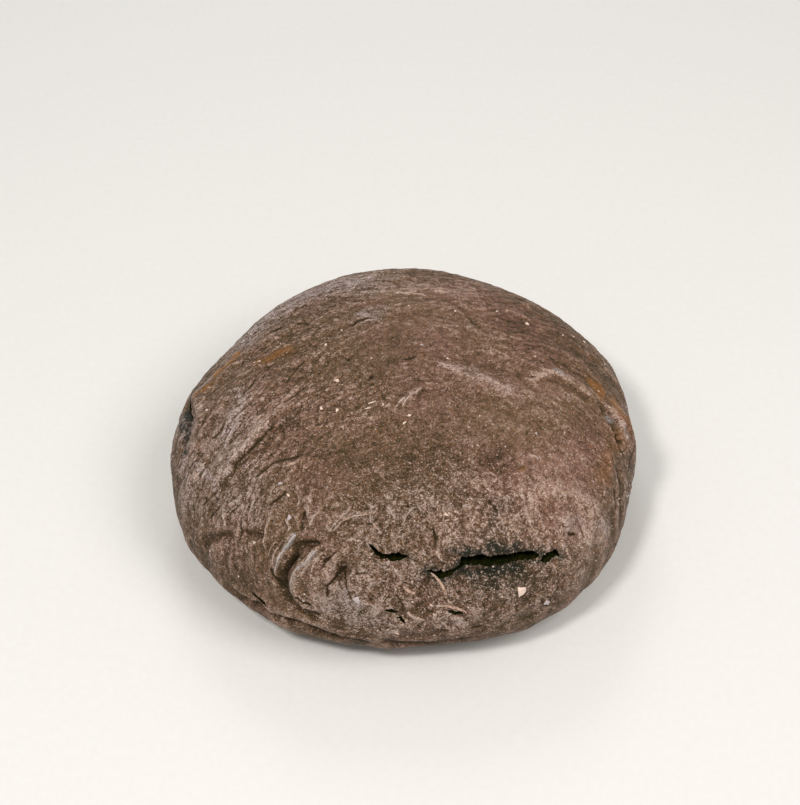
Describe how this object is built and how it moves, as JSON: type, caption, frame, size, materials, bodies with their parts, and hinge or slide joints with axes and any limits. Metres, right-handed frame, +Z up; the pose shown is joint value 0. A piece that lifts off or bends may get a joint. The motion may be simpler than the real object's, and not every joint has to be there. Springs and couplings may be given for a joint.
{
  "type": "carob bread loaf",
  "caption": "Round, low-domed hearth loaf of dark carob bread with a floured, folded crust torn open along its front shoulder and a flat base to rest on.",
  "frame": {"origin": "on the flat underside, below the middle of the loaf's outline", "axes": "+Z up out of the base, -Y towards the side of the crust that is torn open, +X to the right when that side is faced"},
  "size_m": [0.2428, 0.2372, 0.0907],
  "materials": {
    "crust": "dry, matt, dark grey-brown bread crust dusted with pale flour"
  },
  "bodies": {
    "root": {"loaf": "crust"}
  },
  "joints": []
}
